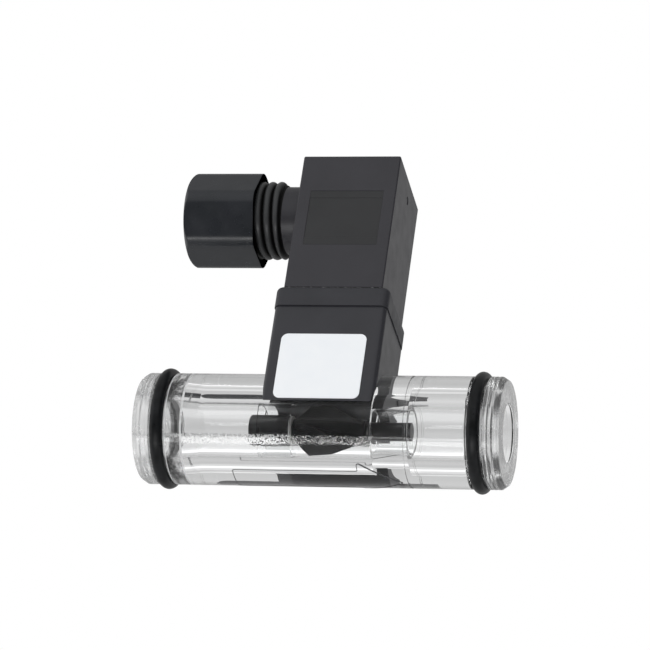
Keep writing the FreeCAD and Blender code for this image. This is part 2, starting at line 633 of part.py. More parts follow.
# Retaining screw from the plug's top into the threaded insert, with its washer.
washer = body("screw_washer")
post(washer, "head_seat", "head_seat + washer_thick", "head_radius")
post(washer, "head_seat", "head_seat + washer_thick", "screw_radius + screw_gap", cut=True)
screw = body("retaining_screw")
head_foot = "head_seat + washer_thick"
head_top = head_foot + " + head_height"
post(screw, head_foot, head_top, "head_radius")
post(screw, "flange_foot - boss_length + screw_tip_lift", head_foot, "screw_radius")
span(screw, "stalk_at - head_radius", "stalk_at + head_radius",
     "-stalk_shift - slot_width / 2", "-stalk_shift + slot_width / 2",
     head_top + " - slot_depth", head_top, cut=True)

# Cable gland: rubber grommet in the spigot, pressure washer, and a hexagon nut with rounded corners.
grommet = body("gland_grommet")
pocket_floor = "spigot_end + pocket_depth"
rod(grommet, pocket_floor + " - grommet_length", pocket_floor, "pocket_radius - grommet_gap", **axis)
rod(grommet, pocket_floor + " - grommet_length", pocket_floor, "grommet_hole", cut=True, **axis)

press = body("gland_washer")
rod(press, "press_at", "press_at + press_thick", "press_radius", **axis)
rod(press, "press_at", "press_at + press_thick", "press_hole", cut=True, **axis)

nut = body("gland_nut")
prism = form(nut, "AdditivePrism", ("nut_end", "-stalk_shift", "gland_level"), "+X",
             Circumradius="nut_flats / sqrt(3)", Height="nut_length")
prism.Polygon = 6
prism.Placement.Rotation = FreeCAD.Rotation(FreeCAD.Vector(1, 0, 0), 30).multiply(TURNS["+X"])
rounded = dress(nut, "Fillet", prism, {"Radius": "nut_corner"}, lengthwise)
end_level = value("nut_end")
dress(nut, "Fillet", rounded, {"Radius": "nut_round"},
      lambda edge: all(abs(vertex.X - end_level) < 1e-6 for vertex in edge.Vertexes))
rod(nut, "nut_end", "nut_rim", "cable_radius", cut=True, **axis)
nut_bore = "spigot_radius + thread_depth + thread_gap"
rod(nut, "nut_end + nut_wall", "nut_rim", nut_bore, cut=True, **axis)
form(nut, "SubtractiveCone", ("nut_rim - mouth_length", "-stalk_shift", "gland_level"), "+X",
     Radius1=nut_bore, Radius2=nut_bore + " + mouth_flare", Height="mouth_length")

doc.recompute()
for item in doc.Objects:
    if "Invalid" in item.State or "Error" in item.State:
        raise RuntimeError("feature failed: " + item.Name + " " + item.Label)
for piece in NODES:
    if piece.Shape.isNull() or not piece.Shape.isValid() or not piece.Shape.Solids:
        raise RuntimeError("bad shape: " + piece.Label)

os.makedirs("parts", exist_ok=True)
for piece in NODES:
    piece.Shape.exportStep("parts/" + piece.Label + ".step")
    box = piece.Shape.BoundBox
    print("%-22s solids %d volume %9.2f  x %.2f..%.2f  y %.2f..%.2f  z %.2f..%.2f" % (
        piece.Label, len(piece.Shape.Solids), piece.Shape.Volume,
        box.XMin, box.XMax, box.YMin, box.YMax, box.ZMin, box.ZMax))
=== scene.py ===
import math

import bpy
import numpy as np
from mathutils import Matrix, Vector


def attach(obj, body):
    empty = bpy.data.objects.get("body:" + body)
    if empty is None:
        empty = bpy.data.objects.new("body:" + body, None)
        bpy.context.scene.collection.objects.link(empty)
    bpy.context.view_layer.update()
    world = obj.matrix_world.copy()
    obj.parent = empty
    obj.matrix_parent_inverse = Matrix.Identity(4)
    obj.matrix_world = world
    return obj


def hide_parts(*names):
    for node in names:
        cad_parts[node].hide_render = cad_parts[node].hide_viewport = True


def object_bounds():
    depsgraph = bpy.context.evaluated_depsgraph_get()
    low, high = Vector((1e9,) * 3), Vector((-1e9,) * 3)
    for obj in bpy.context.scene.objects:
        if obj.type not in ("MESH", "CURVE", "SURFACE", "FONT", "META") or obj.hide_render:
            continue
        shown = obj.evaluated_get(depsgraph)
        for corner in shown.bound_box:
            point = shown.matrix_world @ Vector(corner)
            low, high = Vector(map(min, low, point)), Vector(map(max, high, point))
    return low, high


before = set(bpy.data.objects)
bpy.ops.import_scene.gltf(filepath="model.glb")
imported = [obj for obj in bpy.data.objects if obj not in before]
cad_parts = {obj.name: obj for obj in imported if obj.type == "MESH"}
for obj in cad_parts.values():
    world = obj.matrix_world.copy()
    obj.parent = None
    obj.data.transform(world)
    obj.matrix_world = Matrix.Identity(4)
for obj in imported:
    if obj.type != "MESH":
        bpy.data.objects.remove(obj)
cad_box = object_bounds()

# In-line turbine flow switch, in metres: +X runs with the flow, +Z up the plug and -Y towards the
# label. The sizes below are the millimetres of the solids that the surfaces lie on.
MM = 0.001
TUBE_LENGTH, TUBE_RADIUS = 58.4, 8.8
SEAL_SETBACK, SEAL_WIRE, SEAL_CENTRE = 4.0, 1.05, 8.52
GROOVE_HALF, GROOVE_FLOOR = 1.3, 7.52
MOUTH_BORE, CHAMBER_BORE, SHOULDER_BORE, MOUTH_LENGTH = 4.6, 4.3, 3.6, 5.4
SHOULDER_FROM, SHOULDER_TO = 37.65, 43.45
FIRST_SCRIBE, SCRIBE_WIDTH = 7.85, 0.3
GLAND_Y, GLAND_Z = -1.1, 38.38
THREAD_FROM, THREAD_TO, THREAD_ROOT = 8.75, 18.55, 5.5
THREAD_DEPTH, THREAD_PITCH, THREAD_PHASE = 0.85, 1.5, 0.12
NUT_FROM, NUT_TO, NUT_FLAT, NUT_CORNER = 2.35, 14.15, 7.0, 2.6
NUT_BORE, NUT_HOLE, NUT_WALL = 6.45, 3.6, 2.0
NUT_FLARE, NUT_FLARE_DEPTH = 0.3, 0.9
PLUG_LEFT, PLUG_RIGHT, PLUG_FRONT = 21.5, 37.5, -9.0
GASKET_LEFT, GASKET_RIGHT, GASKET_FRONT, GASKET_BACK = 20.3, 38.7, -9.3, 5.0
GASKET_TOP, GASKET_ROUND = 21.0, 0.7


# Surfaces

def skin(name, points, ring=True, crease=32.0):
    """Quads over a grid of points in millimetres, one row per u and one column per v. The last
    column joins the first, and so does the last row of a ring. Without a ring, one flat face closes
    each end. The shell is turned so that its signed volume is positive: the sum over its triangles
    of a . (b x c) / 6."""
    rows, columns = points.shape[:2]
    u, v = np.meshgrid(np.arange(rows if ring else rows - 1), np.arange(columns), indexing="ij")
    next_u, next_v = (u + 1) % rows, (v + 1) % columns
    quads = np.stack([u * columns + v, next_u * columns + v,
                      next_u * columns + next_v, u * columns + next_v], axis=-1).reshape(-1, 4)
    spots = points.reshape(-1, 3) * MM
    a, b, c, d = (spots[quads[:, corner]] for corner in range(4))
    volume = np.einsum("ij,ij->", a, np.cross(b, c)) + np.einsum("ij,ij->", a, np.cross(c, d))
    flip = -1 if volume < 0 else 1
    caps = np.arange(0 if ring else columns)
    ends = [caps[::flip], (caps + (rows - 1) * columns)[::-flip]]
    corners = np.concatenate([quads[:, ::flip].ravel(), *ends])
    starts = np.arange(0, quads.size, 4)
    if not ring:
        starts = np.concatenate([starts, [quads.size, quads.size + columns]])
    mesh = bpy.data.meshes.new(name)
    mesh.vertices.add(len(spots))
    mesh.vertices.foreach_set("co", spots.astype(np.float32).ravel())
    mesh.loops.add(len(corners))
    mesh.loops.foreach_set("vertex_index", corners.astype(np.int32))
    mesh.polygons.add(len(starts))
    mesh.polygons.foreach_set("loop_start", starts.astype(np.int32))
    mesh.polygons.foreach_set("use_smooth", np.ones(len(starts), dtype=bool))
    mesh.update(calc_edges=True)
    mesh.validate()
    mesh.set_sharp_from_angle(angle=math.radians(crease))
    piece = bpy.data.objects.new(name, mesh)
    bpy.context.scene.collection.objects.link(piece)
    return piece


def ramp(x, start, end):
    """0 before the start, 1 after the end and a straight rise between them, or a fall from 1 to 0
    when the start lies beyond the end."""
    return np.clip((x - start) / (end - start), 0, 1)


def ring_angles(count):
    """Even angles round a ring."""
    return np.linspace(0, 2 * np.pi, count, endpoint=False)


def rounded_loop(corners, radius, steps=4):
    """A closed outline with its corners rounded. Each corner becomes an arc that touches both
    sides: its centre is on the corner's bisector at radius / sin(half angle), and the arc swings
    evenly between the two touching points. It takes a limited share of the shorter side, and one
    more point beyond each of its ends keeps the sides flat."""
    arc_share, guard_share, guard = 0.4, 0.05, 0.04
    corners = np.asarray(corners, float)
    back = np.roll(corners, 1, axis=0) - corners
    ahead = np.roll(corners, -1, axis=0) - corners
    room = np.minimum(np.linalg.norm(back, axis=1), np.linalg.norm(ahead, axis=1))
    back /= np.linalg.norm(back, axis=1, keepdims=True)
    ahead /= np.linalg.norm(ahead, axis=1, keepdims=True)
    half = np.arccos(np.clip(np.sum(back * ahead, axis=1), -1, 1)) / 2
    radius = np.minimum(np.broadcast_to(radius, half.shape), arc_share * room * np.tan(half))
    reach = radius / np.tan(half)
    bisector = back + ahead
    bisector /= np.linalg.norm(bisector, axis=1, keepdims=True)
    centre = corners + bisector * (radius / np.sin(half))[:, None]
    first = corners + back * reach[:, None] - centre
    last = corners + ahead * reach[:, None] - centre
    swing = (np.pi - 2 * half)[:, None, None]
    share = np.linspace(0, 1, steps + 1)[None, :, None]
    arc = np.sin((1 - share) * swing) * first[:, None] + np.sin(share * swing) * last[:, None]
    arc = arc / np.sin(swing) + centre[:, None]
    spare = np.minimum(guard, guard_share * room)[:, None, None]
    lead, tail = arc[:, :1] + back[:, None] * spare, arc[:, -1:] + ahead[:, None] * spare
    return np.concatenate([lead, arc, tail], axis=1).reshape(-1, 2)


def along_loop(corners, radius, count):
    """Evenly spaced points along a closed outline with rounded corners, and the unit direction at
    each. The lengths of its sides are summed, and the points are read off at even steps."""
    loop = rounded_loop(corners, radius, steps=6)
    closed = np.concatenate([loop, loop[:1]])
    run = np.concatenate([[0], np.cumsum(np.linalg.norm(np.diff(closed, axis=0), axis=1))])
    at = np.linspace(0, run[-1], count, endpoint=False)
    spots = np.stack([np.interp(at, run, closed[:, 0]), np.interp(at, run, closed[:, 1])], axis=-1)
    ahead = np.roll(spots, -1, axis=0) - np.roll(spots, 1, axis=0)
    return spots, ahead / np.linalg.norm(ahead, axis=1, keepdims=True)


def turned(outline, around=192):
    """An outline of (x, r) points carried round the flow axis: at each angle the point is
    (x, r cos, r sin)."""
    angle = ring_angles(around)[:, None]
    x, r = outline[:, 0][None], outline[:, 1][None]
    return np.stack(np.broadcast_arrays(x, r * np.cos(angle), r * np.sin(angle)), axis=-1)


def round_gland(x, radius, angle):
    """Points at a radius r and an angle round the gland's axis:
    (x, gland y + r cos, gland z + r sin)."""
    y, z = GLAND_Y + radius * np.cos(angle), GLAND_Z + radius * np.sin(angle)
    return np.stack([x, y, z], axis=-1)


def tube_outline():
    """Half section of the clear tube: tapered ends with two turning marks, seal grooves, fine
    scribed rings and a stepped bore, eased behind the inlet's mouth. The edges of the seal grooves
    and the ends are broken by a small arc. The marks, the scribed rings and the bore's steps are
    sharp."""
    land, edge, sharp = TUBE_RADIUS, 0.14, 0.03
    taper, taper_length, ease = 0.6, 0.9, 4.5
    marks = ((1.45, 0.09, 0.22), (2.1, 0.05, 0.16))
    scribes = ((FIRST_SCRIBE, 0.05), (SHOULDER_TO, 0.16))
    near, far = SEAL_SETBACK - GROOVE_HALF, SEAL_SETBACK + GROOVE_HALF
    end = [(0, land - taper, edge), (taper_length, land, edge)]
    for mark, depth, half in marks:
        end += [(mark - half, land, sharp), (mark, land - depth, sharp), (mark + half, land, sharp)]
    end += [(near, land, edge), (near, GROOVE_FLOOR, edge),
            (far, GROOVE_FLOOR, edge), (far, land, edge)]
    outside = list(end)
    for start, depth in scribes:
        stop, floor = start + SCRIBE_WIDTH, land - depth
        outside += [(start, land, sharp), (start, floor, sharp),
                    (stop, floor, sharp), (stop, land, sharp)]
    outside += [(TUBE_LENGTH - x, radius, corner) for x, radius, corner in end[::-1]]
    mouth = TUBE_LENGTH - MOUTH_LENGTH
    inside = [(TUBE_LENGTH, MOUTH_BORE, edge), (mouth, MOUTH_BORE, sharp),
              (mouth, CHAMBER_BORE, sharp), (SHOULDER_TO, CHAMBER_BORE, sharp),
              (SHOULDER_TO, SHOULDER_BORE, sharp), (SHOULDER_FROM, SHOULDER_BORE, sharp),
              (SHOULDER_FROM, CHAMBER_BORE, sharp), (MOUTH_LENGTH + ease, CHAMBER_BORE, sharp),
              (MOUTH_LENGTH, MOUTH_BORE, sharp), (0, MOUTH_BORE, edge)]
    outline = np.array(outside + inside)
    return rounded_loop(outline[:, :2], outline[:, 2])


def seal_ring(at, around=160, section=48):
    """A torus with a faint mould line: the section's radius is just under the wire's, plus a narrow
    bump at the equator that falls off as exp(-(angle / width)^2)."""
    under, bump, width = 0.022, 0.012, 0.06
    swing = np.linspace(-np.pi, np.pi, section, endpoint=False)
    wire = SEAL_WIRE - under + bump * np.exp(-(swing / width) ** 2)
    outline = np.stack([at + wire * np.sin(swing), SEAL_CENTRE + wire * np.cos(swing)], axis=-1)
    return turned(outline, around)


def gland_thread(around=160, along=220):
    """A screw thread round the gland spigot. At angle a the ridge stands at x = pitch * a / 2 pi,
    so the height is a wave of x / pitch - a / 2 pi, raised to a low power that makes the ridges
    wide and the grooves narrow. It starts at a plain collar as high as the ridge, which closes the
    nut's mouth when the nut is out, and fades out near the plug. Two more columns run back inside
    the spigot and close the section."""
    sunk, inside, fullness, set_in = 0.02, 0.3, 0.22, 0.05
    rise_from, rise_to = THREAD_FROM + 0.02, THREAD_FROM + 0.14
    collar_full, collar_end = THREAD_FROM + 0.4, THREAD_FROM + 0.6
    fall_from, fall_to = THREAD_TO - 0.8, THREAD_TO - 0.1
    angle = ring_angles(around)[:, None]
    x = np.linspace(THREAD_FROM, THREAD_TO, along)[None]
    wave = 0.5 + 0.5 * np.cos(2 * np.pi * (x / THREAD_PITCH - THREAD_PHASE) - angle)
    fade = ramp(x, rise_from, rise_to) * ramp(x, fall_to, fall_from)
    fade = fade * fade * (3 - 2 * fade)
    height = np.maximum(wave ** fullness, ramp(x, collar_end, collar_full)) * fade
    radius = THREAD_ROOT - sunk + (THREAD_DEPTH + sunk) * height
    inner = np.full((around, 1), THREAD_ROOT - inside)
    radius = np.concatenate([inner, radius, inner], axis=1)
    x = np.concatenate([[[THREAD_FROM + set_in]], x, [[THREAD_TO - set_in]]], axis=1)
    return round_gland(np.broadcast_to(x, radius.shape), radius, angle)


def hexagon_nut(around=240, steps=12):
    """A hexagon nut with a domed outer end. At angle a from a flat's middle the section reaches
    flat / cos(a), and near a corner it follows an arc round a point on the corner's line. The dome
    is a quarter ellipse turned about the axis, and each line of points changes from dome to hexagon
    where the two meet. A bore with a flared mouth and a cable hole close the section."""
    dome_start, dome_crown, dome_length = 6.2, 7.75, 1.2
    dome_band, rim_band, rim_edge = 0.25, 0.4, 0.1
    half_side = math.pi / 6
    angle = ring_angles(around)[:, None]
    off = (angle + half_side) % (2 * half_side) - half_side
    turn = (NUT_FLAT - NUT_CORNER) / math.cos(half_side)
    touch = math.atan2(NUT_CORNER / 2, turn + NUT_CORNER * math.cos(half_side))
    arc = turn * np.cos(off) + np.sqrt(NUT_CORNER ** 2 - (turn * np.sin(off)) ** 2)
    reach = np.where(abs(off) < touch, arc, NUT_FLAT / np.cos(half_side - abs(off)))
    rise = dome_crown - dome_start
    meet = dome_length * (1 - np.sqrt(1 - ((reach - dome_start) / rise) ** 2))
    dome_x = meet * np.linspace(0, 1, steps)[None]
    dome_r = dome_start + rise * np.sqrt(1 - (1 - dome_x / dome_length) ** 2)
    far, once = NUT_TO - NUT_FROM, np.ones_like(reach)
    rings = [(NUT_WALL, NUT_HOLE), (0, NUT_HOLE), (dome_x, dome_r), (meet + dome_band, reach),
             (far - rim_band, reach), (far - rim_edge, reach), (far, reach - rim_edge),
             (far, NUT_BORE + NUT_FLARE), (far - NUT_FLARE_DEPTH, NUT_BORE), (NUT_WALL, NUT_BORE)]
    x = np.concatenate([once * at for at, _ in rings], axis=1)
    radius = np.concatenate([once * out for _, out in rings], axis=1)
    return round_gland(NUT_FROM + x, radius, angle)


def badge_panel():
    """The bare plate sunk in the plug's front: one section in (y, z), with a raised bar along its
    top and bottom, carried along X. Its back is set into the plug's wall."""
    left, right, foot, top, bar = 23.54, 35.46, 28.94, 39.06, 1.3
    high, low, back = PLUG_FRONT + 0.035, PLUG_FRONT + 0.095, PLUG_FRONT + 0.3
    corner, stations = 0.02, 24
    section = rounded_loop([(back, foot), (high, foot), (high, foot + bar), (low, foot + bar),
                            (low, top - bar), (high, top - bar), (high, top), (back, top)],
                           corner, steps=3)
    x = np.linspace(left, right, stations)[:, None]
    return np.stack(np.broadcast_arrays(x, section[:, 0][None], section[:, 1][None]), axis=-1)


def gasket_flash(count=1400, section=8):
    """Ragged moulding flash on the gasket's rounded top edge, round the plug's foot: a bead on a
    rounded rectangle whose radius is a small floor plus the positive part of three sine waves of
    unlike length along it. The bead lies on the gasket: where its line is d inside the gasket's
    outline, and d is less than the edge's radius r, it drops by r - sqrt(r^2 - (r - d)^2)."""
    beside, before, inside, corner = 0.12, 0.06, 0.25, 0.4
    floor, growth = 0.02, 0.035
    waves = ((53, 1.0, 0.0), (97, 0.8, 1.3), (31, 0.6, 4.0))
    left, right = PLUG_LEFT - beside, PLUG_RIGHT + beside
    front, back = PLUG_FRONT - before, GASKET_BACK - inside
    corners = [(left, front), (right, front), (right, back), (left, back)]
    spots, ahead = along_loop(corners, corner, count)
    x, y = spots[:, :1], spots[:, 1:]
    inset = np.min([x - GASKET_LEFT, GASKET_RIGHT - x, y - GASKET_FRONT, GASKET_BACK - y], axis=0)
    over_edge = np.maximum(GASKET_ROUND - inset, 0)
    level = GASKET_TOP - GASKET_ROUND + np.sqrt(GASKET_ROUND ** 2 - over_edge ** 2)
    once_round = ring_angles(count)[:, None]
    ragged = sum(size * np.sin(number * once_round + start) for number, size, start in waves)
    radius = floor + growth * np.maximum(ragged, 0)
    swing = ring_angles(section)[None]
    across = radius * np.cos(swing)
    x, y, z = x + across * ahead[:, 1:], y - across * ahead[:, :1], level + radius * np.sin(swing)
    return np.stack([x, y, z], axis=-1)


def flow_arrow(count=900, section=12):
    """A fine bead along the outline of an arrow, wrapped on the underside of the tube. The outline
    lies in (x, s), and s becomes the angle s / tube radius from the lowest line. The bead's section
    is an ellipse across the outline and along the tube's radius, wider on the head's two slopes."""
    tail, neck, tip, shaft, head, centre = 15.85, 35.85, 42.75, 2.85, 4.65, -0.45
    corner, thin, widening, widened = 0.3, 0.07, 0.09, 0.8
    half_height, lift = 0.05, 0.02
    corners = [(tail, centre - shaft), (neck, centre - shaft), (neck, centre - head), (tip, centre),
               (neck, centre + head), (neck, centre + shaft), (tail, centre + shaft)]
    spots, ahead = along_loop(corners, corner, count)
    x, s = spots[:, :1], spots[:, 1:]
    swing = ring_angles(section)[None]
    across = (thin + widening * ramp(x, neck, neck + widened)) * np.cos(swing)
    radius = TUBE_RADIUS + lift + half_height * np.sin(swing)
    angle = (s + ahead[:, :1] * across) / TUBE_RADIUS
    x = x - ahead[:, 1:] * across
    return np.stack([x, -radius * np.sin(angle), -radius * np.cos(angle)], axis=-1)


# Finishes

TUBE_IOR, SPIDER_IOR = 1.585, 1.06
TUBE_SHEEN = (0.45, 0.45, 0.45, 1)


def finish(name):
    """A new node material with its tree, shader and object coordinates."""
    material = bpy.data.materials.new(name)
    material.use_nodes = True
    tree = material.node_tree
    shader = tree.nodes["Principled BSDF"]
    place = tree.nodes.new("ShaderNodeTexCoord")
    return material, tree, shader, place.outputs["Object"]


def made_clear(shader, clearness, ior=TUBE_IOR):
    """Let light through the shader."""
    shader.inputs["Transmission Weight"].default_value = clearness
    shader.inputs["IOR"].default_value = ior


def worked(tree, operation, *factors):
    """One number worked out from factors, each a plain number or the output of a node."""
    sums = tree.nodes.new("ShaderNodeMath")
    sums.operation = operation
    for entry, factor in zip(sums.inputs, factors):
        if isinstance(factor, (int, float)):
            entry.default_value = factor
        else:
            tree.links.new(factor, entry)
    return sums.outputs[0]


def split(tree, place):
    """The three coordinates of a place."""
    parts = tree.nodes.new("ShaderNodeSeparateXYZ")
    tree.links.new(place, parts.inputs[0])
    return parts.outputs


def swing_round(tree, place):
    """The angle round the flow axis, arctan2(z, y)."""
    parts = split(tree, place)
    return worked(tree, "ARCTAN2", parts["Z"], parts["Y"])


def speckle(tree, place, grain, detail=3.0, stretch=None):
    """Noise with grains of the given size in millimetres, drawn out along an axis by a stretch."""
    if stretch:
        drawn = tree.nodes.new("ShaderNodeMapping")
        drawn.inputs["Scale"].default_value = stretch
        tree.links.new(place, drawn.inputs["Vector"])
        place = drawn.outputs["Vector"]
    noise = tree.nodes.new("ShaderNodeTexNoise")
    noise.inputs["Scale"].default_value = 1.0 / (grain * MM)
    noise.inputs["Detail"].default_value = detail
    tree.links.new(place, noise.inputs["Vector"])
    return noise.outputs["Fac"]


def between(tree, factor, low, high, start=0.3, end=0.7):
    """A stretch of the factor, by default its middle, laid onto a range of values."""
    reach = tree.nodes.new("ShaderNodeMapRange")
    for key, amount in (("From Min", start), ("From Max", end), ("To Min", low), ("To Max", high)):
        reach.inputs[key].default_value = amount
    tree.links.new(factor, reach.inputs["Value"])
    return reach.outputs["Result"]


def tint(tree, factor, dark, light, start=0.3, end=0.7):
    """Two shades of one colour, mixed by a factor."""
    shades = tree.nodes.new("ShaderNodeValToRGB")
    for stop, position, colour in zip(shades.color_ramp.elements, (start, end), (dark, light)):
        stop.position, stop.color = position, (*colour, 1)
    tree.links.new(factor, shades.inputs["Fac"])
    return shades.outputs["Color"]


def relief(tree, shader, height, depth):
    """Fine relief of the given depth in millimetres."""
    bump = tree.nodes.new("ShaderNodeBump")
    bump.inputs["Distance"].default_value = depth * MM
    tree.links.new(height, bump.inputs["Height"])
    tree.links.new(bump.outputs["Normal"], shader.inputs["Normal"])


def moulded(name, dark, light, rough, grain=0.12, depth=0.006, patch=6.0, specular=0.5):
    """Moulded plastic or rubber: fine eroded grain over broad faint patches of shade and gloss."""
    gloss_share = 0.4
    material, tree, shader, place = finish(name)
    broad = speckle(tree, place, patch, detail=2.0)
    gloss = speckle(tree, place, patch * gloss_share)
    tree.links.new(tint(tree, broad, dark, light), shader.inputs["Base Color"])
    tree.links.new(between(tree, gloss, *rough), shader.inputs["Roughness"])
    shader.inputs["Specular IOR Level"].default_value = specular
    relief(tree, shader, speckle(tree, place, grain, detail=2.0), depth)
    return material


def metal(name, dark, light, rough, stretch):
    """Turned or drawn metal: fine streaks along the tool's path."""
    material, tree, shader, place = finish(name)
    streak = speckle(tree, place, grain=0.25, stretch=stretch)
    tree.links.new(tint(tree, streak, dark, light), shader.inputs["Base Color"])
    tree.links.new(between(tree, streak, *rough), shader.inputs["Roughness"])
    shader.inputs["Metallic"].default_value = 1.0
    relief(tree, shader, streak, depth=0.003)
    return material


def spider_plastic(name):
    """Thin clear moulded plastic, which hardly bends the light: faint flow waves and slightly
    uneven polish."""
    material, tree, shader, place = finish(name)
    shader.inputs["Base Color"].default_value = (0.97, 0.975, 0.975, 1)
    made_clear(shader, 1.0, SPIDER_IOR)
    polish = speckle(tree, place, grain=2.5)
    tree.links.new(between(tree, polish, 0.02, 0.08), shader.inputs["Roughness"])
    waves = speckle(tree, place, grain=0.8, detail=1.0, stretch=(0.35, 1.0, 1.0))
    relief(tree, shader, waves, depth=0.004)
    return material


def side_strip(tree, place, middle, full, gone):
    """1 along a strip of the tube's wall and 0 elsewhere: a soft window of the angle round the flow
    axis, with its middle and the two half widths where it is full and gone, in degrees."""
    off = worked(tree, "SUBTRACT", swing_round(tree, place), math.radians(middle))
    away = worked(tree, "ABSOLUTE", off)
    return between(tree, away, 1.0, 0.0, math.radians(full), math.radians(gone))


def tube_plastic(name):
    """Polished clear plastic with faint flow waves drawn out along the tube. Along the moulding
    seam stand fine raised white specks, one in each cell of a scatter, as wide as the strip is
    strong there: close together before the rotor, loose over it and gone after it. The specks'
    white is a painted highlight, the seam's sparkle."""
    cell = 0.24
    material, tree, shader, place = finish(name)
    shader.inputs["Base Color"].default_value = (0.985, 0.988, 0.99, 1)
    made_clear(shader, 1.0)
    shader.inputs["Specular Tint"].default_value = TUBE_SHEEN
    polish = speckle(tree, place, grain=2.5)
    tree.links.new(between(tree, polish, 0.0, 0.04), shader.inputs["Roughness"])
    scatter = tree.nodes.new("ShaderNodeTexVoronoi")
    scatter.inputs["Scale"].default_value = 1.0 / (cell * MM)
    tree.links.new(place, scatter.inputs["Vector"])
    near = between(tree, scatter.outputs["Distance"], 1.0, 0.0, start=0.0, end=1.0)
    along = split(tree, place)["X"]
    # Painted highlight: white specks along a strip low on the tube's front, denser before the rotor
    # and gone after it.
    dense = between(tree, along, 1.65, 0.96, start=23.5 * MM, end=25.5 * MM)
    ended = between(tree, along, 1.0, 0.0, start=38.0 * MM, end=39.0 * MM)
    seam = side_strip(tree, place, middle=-139.5, full=2.0, gone=6.5)
    specks = worked(tree, "MULTIPLY", worked(tree, "MULTIPLY", near, seam),
                    worked(tree, "MULTIPLY", dense, ended))
    tree.links.new(between(tree, specks, 1.0, 0.05, start=0.57, end=0.66),
                   shader.inputs["Transmission Weight"])
    waves = speckle(tree, place, grain=1.6, detail=2.0, stretch=(0.3, 1.0, 1.0))
    raised = between(tree, specks, 0.0, 3.0, start=0.0, end=1.0)
    relief(tree, shader, worked(tree, "ADD", waves, raised), depth=0.006)
    return material


def collar_plastic(name):
    """Clear plastic left rough behind the inlet seal: mottled in fine dark and light grains over
    two soft patches, above and below. The mottling is the plastic's own; gathering the dark grains
    into the two patches paints shade on the tube's sides."""
    material, tree, shader, place = finish(name)
    made_clear(shader, 0.96)
    shader.inputs["Specular Tint"].default_value = TUBE_SHEEN
    # Painted shade: these two patches darken the grains on the two sides of the tube.
    patch = worked(tree, "MAXIMUM", side_strip(tree, place, middle=160, full=12, gone=28),
                   side_strip(tree, place, middle=-102, full=12, gone=30))
    grains = worked(tree, "MULTIPLY", speckle(tree, place, grain=0.3), patch)
    tree.links.new(tint(tree, grains, (0.97, 0.972, 0.975), (0.06, 0.06, 0.062), end=0.56),
                   shader.inputs["Base Color"])
    tree.links.new(between(tree, patch, 0.02, 0.16, start=0.0, end=1.0),
                   shader.inputs["Roughness"])
    relief(tree, shader, grains, depth=0.012)
    return material


def edge_plastic(name):
    """Clear plastic whitened along a worked edge, with faint breaks."""
    material, tree, shader, place = finish(name)
    made_clear(shader, 0.3)
    breaks = speckle(tree, place, grain=0.9, detail=2.0)
    tree.links.new(tint(tree, breaks, (0.6, 0.605, 0.61), (0.96, 0.965, 0.97)),
                   shader.inputs["Base Color"])
    tree.links.new(between(tree, breaks, 0.45, 0.25), shader.inputs["Roughness"])
    relief(tree, shader, breaks, depth=0.006)
    return material


def turned_plastic(name, dark, light, clearness, depth):
    """Clear plastic cut on a lathe: dulled and a little whitened, with fine rings round the axis
    and faint blotches."""
    material, tree, shader, place = finish(name)
    made_clear(shader, clearness)
    rings = speckle(tree, place, grain=0.5, detail=2.0, stretch=(2.0, 0.08, 0.08))
    blotch = speckle(tree, place, grain=1.6, detail=2.0)
    tree.links.new(tint(tree, rings, dark, light), shader.inputs["Base Color"])
    tree.links.new(between(tree, blotch, 0.12, 0.3), shader.inputs["Roughness"])
    relief(tree, shader, rings, depth)
    return material


def thread_plastic_painted_shade(name):
    """The nut's plastic with painted shade in the groove: the colour rises with the distance from
    the gland's axis, from a near-black thread root to the crest."""
    foot = 0.25
    material, tree, shader, place = finish(name)
    parts = split(tree, place)
    flat = tree.nodes.new("ShaderNodeCombineXYZ")
    tree.links.new(parts["Y"], flat.inputs["Y"])
    tree.links.new(parts["Z"], flat.inputs["Z"])
    away = tree.nodes.new("ShaderNodeVectorMath")
    away.operation = "DISTANCE"
    tree.links.new(flat.outputs[0], away.inputs[0])
    away.inputs[1].default_value = (0, GLAND_Y * MM, GLAND_Z * MM)
    height = between(tree, away.outputs["Value"], 0.0, 1.0, start=(THREAD_ROOT + foot) * MM,
                     end=(THREAD_ROOT + THREAD_DEPTH) * MM)
    # Painted shade: near black at the thread's root, rising to the plastic's own dark grey at the
    # crest.
    shade = tint(tree, height, (0.0005, 0.0005, 0.0006), (0.041, 0.0425, 0.0445), 0.5, 0.95)
    tree.links.new(shade, shader.inputs["Base Color"])
    tree.links.new(between(tree, height, 0.7, 0.32, start=0.0, end=1.0), shader.inputs["Roughness"])
    shader.inputs["Specular IOR Level"].default_value = 0.3
    relief(tree, shader, speckle(tree, place, grain=0.15, detail=2.0), depth=0.004)
    return material


tube_finish = tube_plastic("clear_tube_plastic")
inlet_finish = turned_plastic("turned_inlet_plastic", (0.93, 0.935, 0.94), (0.99, 0.99, 0.99),
                              clearness=0.72, depth=0.008)
